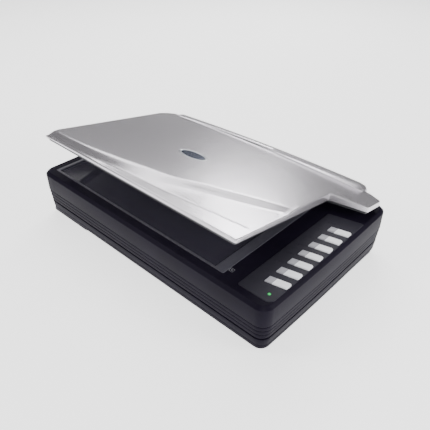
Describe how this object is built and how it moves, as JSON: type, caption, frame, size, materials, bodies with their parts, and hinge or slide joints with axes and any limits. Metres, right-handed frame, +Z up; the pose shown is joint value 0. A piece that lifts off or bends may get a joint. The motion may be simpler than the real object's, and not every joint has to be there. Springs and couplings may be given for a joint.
{
  "type": "flatbed scanner",
  "caption": "Large-format flatbed scanner with an L-shaped crowned lid on rising hinges, a glass platen, side keys and a belt-driven scan carriage inside.",
  "frame": {"origin": "centre of the body's footprint on the resting plane, under the feet", "axes": "+X to the right along the long side, +Y towards the hinges at the back, +Z up; the lid is stored standing a little open"},
  "size_m": [0.62, 0.3811, 0.1923],
  "materials": {
    "case_plastic": "satin",
    "panel_plastic": "satin",
    "frame_plastic": "satin",
    "platen_glass": "polished",
    "mark_print": "matte",
    "white_strip": "matte",
    "foot_rubber": "matte",
    "lamp_green": "gloss",
    "circuit_board": "satin",
    "chip_black": "matte",
    "socket_metal": "satin",
    "socket_plastic": "satin",
    "rod_steel": "polished",
    "sheet_steel": "satin",
    "motor_steel": "satin",
    "gear_nylon": "satin",
    "pinion_brass": "satin",
    "belt_rubber": "matte",
    "spring_steel": "satin",
    "ribbon_white": "satin",
    "carriage_plastic": "matte",
    "carriage_cover": "satin",
    "slider_white": "satin",
    "lamp_white": "gloss",
    "reflector_foil": "polished",
    "mirror_glass": "polished",
    "lens_barrel": "satin",
    "lid_silver": "satin",
    "liner_grey": "satin",
    "pad_white": "matte",
    "badge_silver": "satin",
    "key_white": "satin",
    "screw_steel": "satin"
  },
  "bodies": {
    "base": {"bottom_cover": "case_plastic", "upper_cover": "case_plastic", "control_panel": "panel_plastic", "platen_frame": "frame_plastic", "platen_glass": "platen_glass", "alignment_mark": "mark_print", "calibration_strip": "white_strip", "feet": "foot_rubber", "status_lamp": "lamp_green", "key_board": "circuit_board", "key_switches": "chip_black", "main_board": "circuit_board", "board_parts": "chip_black", "usb_socket": "socket_metal", "power_inlet": "socket_plastic", "switch_housing": "socket_plastic", "guide_rod": "rod_steel", "rod_clips": "carriage_plastic", "support_rail": "sheet_steel", "motor_bracket": "sheet_steel", "stepper_motor": "motor_steel", "gear_post": "rod_steel", "drive_belt": "belt_rubber", "idler_plate": "sheet_steel", "tension_spring": "spring_steel", "ribbon_cable": "ribbon_white", "case_screws": "screw_steel", "motor_screws": "screw_steel", "board_screws": "screw_steel"},
    "carriage": {"carriage_housing": "carriage_plastic", "carriage_top": "carriage_cover", "rod_bushes": "pinion_brass", "slider_foot": "slider_white", "belt_clamp": "carriage_plastic", "scan_lamp": "lamp_white", "lamp_reflector": "reflector_foil", "mirrors": "mirror_glass", "lens": "lens_barrel", "sensor_board": "circuit_board"},
    "gear": {"drive_gear": "gear_nylon"},
    "pinion": {"motor_pinion": "pinion_brass"},
    "idler": {"idler_pulley": "gear_nylon"},
    "hinge": {"hinge_legs": "case_plastic"},
    "lid": {"lid_shell": "lid_silver", "lid_liner": "liner_grey", "document_pad": "pad_white", "lid_badge": "badge_silver", "hinge_brackets": "sheet_steel", "hinge_pins": "rod_steel", "lid_screws": "screw_steel"},
    "rocker": {"power_rocker": "socket_plastic"},
    "button_1": {"key_1": "key_white"},
    "button_2": {"key_2": "key_white"},
    "button_3": {"key_3": "key_white"},
    "button_4": {"key_4": "key_white"},
    "button_5": {"key_5": "key_white"},
    "button_6": {"key_6": "key_white"},
    "button_7": {"key_7": "key_white"}
  },
  "joints": [
    {"name": "carriage_slide", "type": "slide", "parent": "base", "child": "carriage", "axis": [1, 0, 0], "range_m": [0, 0.43]},
    {"name": "gear_spin", "type": "hinge", "parent": "base", "child": "gear", "pos_m": [0.222, 0.096, 0.03], "axis": [0, 0, 1], "range_deg": [0, 2820]},
    {"name": "idler_spin", "type": "hinge", "parent": "base", "child": "idler", "pos_m": [-0.284, 0.096, 0.036], "axis": [0, 0, 1], "range_deg": [0, 2820]},
    {"name": "pinion_spin", "type": "hinge", "parent": "base", "child": "pinion", "pos_m": [0.257, 0.096, 0.025], "axis": [0, 0, 1], "range_deg": [-11270, 0]},
    {"name": "hinge_lift", "type": "slide", "parent": "base", "child": "hinge", "axis": [0, 0, 1], "range_m": [0, 0.02]},
    {"name": "lid_hinge", "type": "hinge", "parent": "hinge", "child": "lid", "pos_m": [0, 0.184, 0.1135], "axis": [-1, 0, 0], "range_deg": [-10.6, 70]},
    {"name": "button_1_press", "type": "slide", "parent": "base", "child": "button_1", "axis": [0, 0, -1], "range_m": [0, 0.0012], "stiffness_N_per_m": 600, "springref_m": -0.0005},
    {"name": "button_2_press", "type": "slide", "parent": "base", "child": "button_2", "axis": [0, 0, -1], "range_m": [0, 0.0012], "stiffness_N_per_m": 600, "springref_m": -0.0005},
    {"name": "button_3_press", "type": "slide", "parent": "base", "child": "button_3", "axis": [0, 0, -1], "range_m": [0, 0.0012], "stiffness_N_per_m": 600, "springref_m": -0.0005},
    {"name": "button_4_press", "type": "slide", "parent": "base", "child": "button_4", "axis": [0, 0, -1], "range_m": [0, 0.0012], "stiffness_N_per_m": 600, "springref_m": -0.0005},
    {"name": "button_5_press", "type": "slide", "parent": "base", "child": "button_5", "axis": [0, 0, -1], "range_m": [0, 0.0012], "stiffness_N_per_m": 600, "springref_m": -0.0005},
    {"name": "button_6_press", "type": "slide", "parent": "base", "child": "button_6", "axis": [0, 0, -1], "range_m": [0, 0.0012], "stiffness_N_per_m": 600, "springref_m": -0.0005},
    {"name": "button_7_press", "type": "slide", "parent": "base", "child": "button_7", "axis": [0, 0, -1], "range_m": [0, 0.0012], "stiffness_N_per_m": 600, "springref_m": -0.0005},
    {"name": "rocker_tilt", "type": "hinge", "parent": "base", "child": "rocker", "pos_m": [0.152, 0.1831, 0.0241], "axis": [0, 0, 1], "range_deg": [0, 16]}
  ],
  "couplings": [
    {"joint": "gear_spin", "follows": "carriage_slide", "rad_per_m": 114.29},
    {"joint": "idler_spin", "follows": "carriage_slide", "rad_per_m": 114.29},
    {"joint": "pinion_spin", "follows": "carriage_slide", "rad_per_m": -457.14}
  ]
}
